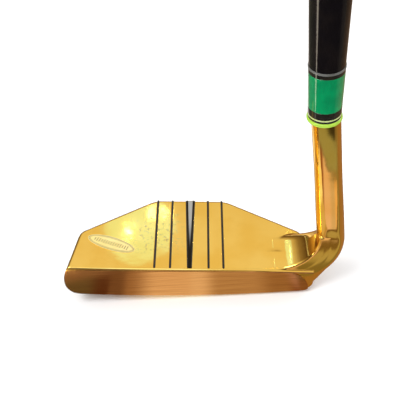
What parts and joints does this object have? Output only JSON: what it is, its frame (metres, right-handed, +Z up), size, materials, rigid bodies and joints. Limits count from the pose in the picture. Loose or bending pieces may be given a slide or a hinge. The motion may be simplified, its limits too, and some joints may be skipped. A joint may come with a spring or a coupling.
{
  "type": "golf putter",
  "caption": "Gold-plated mallet-style blade putter with a bent round neck, black shaft, banded ferrule and pistol grip.",
  "frame": {"origin": "centre of the striking face, on the face", "axes": "-Y out of the striking face, +Z up along the shaft, +X from toe to heel"},
  "size_m": [0.1372, 0.0546, 0.8878],
  "materials": {
    "gold_head": "polished gold plate over cast brass, lightly tarnished",
    "gold_neck": "polished gold plate",
    "gold_sole": "brushed gold plate",
    "silver_inlay": "brushed",
    "black_paint": "baked paint fill",
    "label_enamel": "pale lacquered label, blank",
    "gasket_rubber": "thin sheet",
    "screw_steel": "machined",
    "shaft_black": "gloss black lacquer",
    "epoxy": "cured adhesive",
    "plug_rubber": "moulded",
    "ferrule_lime": "gloss",
    "ferrule_black": "gloss",
    "ferrule_pale": "gloss",
    "ferrule_green": "gloss",
    "ferrule_grey": "gloss",
    "tape": "paper-backed adhesive tape",
    "grip_rubber": "moulded, fine texture",
    "cap_plastic": "moulded"
  },
  "bodies": {
    "root": {"head_shell": "gold_head", "neck": "gold_neck", "neck_fillet": "gold_neck", "sight_wedge": "silver_inlay", "sight_line_paint": "black_paint", "finish_label": "label_enamel", "sole_plate": "gold_sole", "sole_gasket": "gasket_rubber", "sole_screws": "screw_steel", "shaft": "shaft_black", "shaft_adhesive": "epoxy", "tip_plug": "plug_rubber", "ferrule_end_ring": "ferrule_lime", "ferrule_lower_spacer": "ferrule_black", "ferrule_pinstripe": "ferrule_pale", "ferrule_collar": "ferrule_black", "ferrule_green_band": "ferrule_green", "ferrule_upper_spacer": "ferrule_black", "ferrule_trim_ring": "ferrule_grey", "grip_tape": "tape", "grip": "grip_rubber", "grip_cap": "cap_plastic"}
  },
  "joints": []
}
